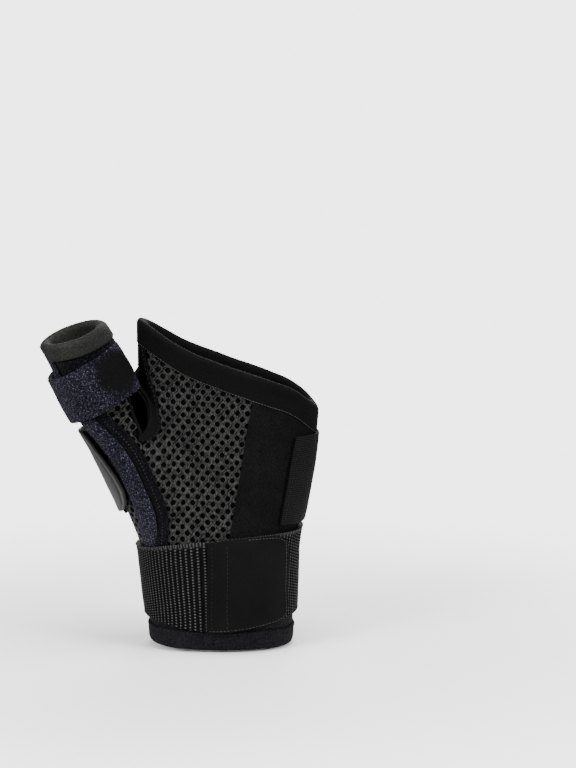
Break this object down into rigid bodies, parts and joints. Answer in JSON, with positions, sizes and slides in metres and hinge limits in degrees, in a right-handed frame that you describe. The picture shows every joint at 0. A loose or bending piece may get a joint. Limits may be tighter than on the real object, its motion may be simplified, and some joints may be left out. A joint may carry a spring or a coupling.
{
  "type": "thumb spica splint",
  "caption": "Soft wrist and thumb splint with mesh panels, a padded stay sleeve along the thumb, and hook-and-loop straps round the thumb, hand and wrist.",
  "frame": {"origin": "middle of the wrist hollow, halfway up the wrist strap", "axes": "+Z towards the fingers, -Y out of the palm side, -X to the thumb's side"},
  "size_m": [0.118, 0.0558, 0.1394],
  "materials": {
    "body_cloth": "matte knit over thin foam",
    "air_mesh": "open spacer mesh",
    "loop_pile": "navy loop pile",
    "black_tape": "smooth stretch tape",
    "grey_tape": "stretch tape",
    "elastic": "ribbed knitted elastic",
    "webbing": "fine woven webbing",
    "hook_tape": "smooth back of hook tape",
    "grey_hook_tape": "smooth back of hook tape"
  },
  "bodies": {
    "root": {"hand_wrap": "body_cloth", "palm_mesh": "air_mesh", "back_mesh": "air_mesh", "thumb_sleeve": "loop_pile", "top_binding": "black_tape", "hem_binding": "black_tape", "thumb_binding": "grey_tape", "web_facing": "black_tape", "stay_sleeve": "loop_pile", "seam_tape": "black_tape", "thumb_strap": "loop_pile", "thumb_strap_tab": "hook_tape", "thumb_hook_tab": "hook_tape", "hand_strap": "webbing", "hand_strap_tab": "grey_hook_tape", "wrist_strap": "elastic", "wrist_strap_tab": "hook_tape"}
  },
  "joints": []
}
